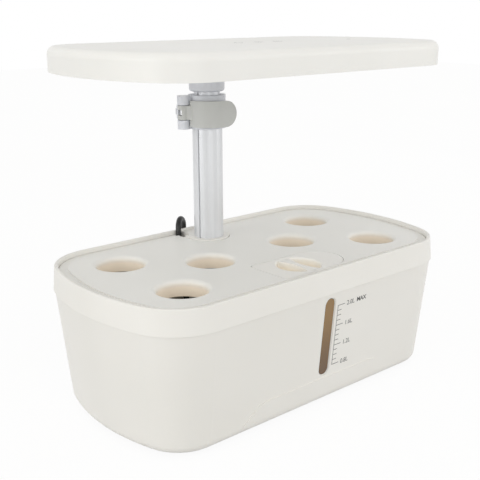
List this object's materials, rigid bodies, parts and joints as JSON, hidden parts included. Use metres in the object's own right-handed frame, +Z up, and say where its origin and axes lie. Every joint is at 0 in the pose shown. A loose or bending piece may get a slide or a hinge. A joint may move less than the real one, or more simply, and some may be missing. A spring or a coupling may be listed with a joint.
{
  "type": "countertop hydroponic garden",
  "caption": "Countertop hydroponic garden with a rounded water tank, a six-hole planting deck, a telescopic mast with a flip clamp and a slim lamp head.",
  "frame": {"origin": "on the supporting surface under the middle of the tank plan", "axes": "+X along the tank, +Y from the gauge side to the mast side, +Z up"},
  "size_m": [0.2668, 0.1523, 0.2294],
  "materials": {
    "tank_plastic": "satin moulded",
    "deck_plastic": "fine matt",
    "head_plastic": "satin moulded",
    "gauge_lens": "clear over dark water",
    "soft_seal": "soft seal",
    "black_rubber": "matt",
    "mast_metal": "satin anodised",
    "clamp_plastic": "satin moulded",
    "collar_plastic": "satin moulded",
    "steel": "bright zinc",
    "dark_plastic": "satin",
    "diffuser": "milky",
    "circuit": "white solder mask",
    "chip": "phosphor",
    "lead_rubber": "semi matt"
  },
  "bodies": {
    "base": {"tub": "tank_plastic", "feet": "black_rubber", "window_lens": "gauge_lens", "window_gasket": "soft_seal", "socket_plate": "tank_plastic", "pump_socket": "dark_plastic", "power_inlet": "dark_plastic", "socket_screws": "steel", "mast_outer_tube": "mast_metal", "clamp_collar": "collar_plastic", "clamp_pin": "steel", "clamp_bolt": "steel", "clamp_nut": "steel", "pump_body": "dark_plastic", "pump_filter": "dark_plastic", "pump_feet": "black_rubber", "pump_lead": "lead_rubber", "pump_plug": "lead_rubber", "lamp_lead": "dark_plastic"},
    "mast_head": {"mast_inner_tube": "mast_metal", "mast_slider": "dark_plastic", "head_shell": "head_plastic", "head_frame": "head_plastic", "led_diffuser": "diffuser", "led_board": "circuit", "led_chips": "chip", "control_board": "circuit", "touch_panel": "head_plastic", "indicator_lens": "dark_plastic", "head_screws": "steel", "head_collar": "collar_plastic"},
    "lever": {"clamp_lever": "clamp_plastic"},
    "deck": {"deck_plate": "deck_plastic"},
    "cover": {"filler_cover": "deck_plastic"}
  },
  "joints": [
    {"name": "head_height", "type": "slide", "parent": "base", "child": "mast_head", "axis": [0, 0, 1], "range_m": [-0.002, 0.11]},
    {"name": "lever_swing", "type": "hinge", "parent": "base", "child": "lever", "pos_m": [-0.0175, 0.0515, 0.18185], "axis": [0, 0, -1], "range_deg": [0, 120]},
    {"name": "deck_lift", "type": "slide", "parent": "base", "child": "deck", "axis": [0, 0, 1], "range_m": [0, 0.06]},
    {"name": "cover_lift", "type": "slide", "parent": "deck", "child": "cover", "axis": [0, 0, 1], "range_m": [0, 0.03]}
  ]
}
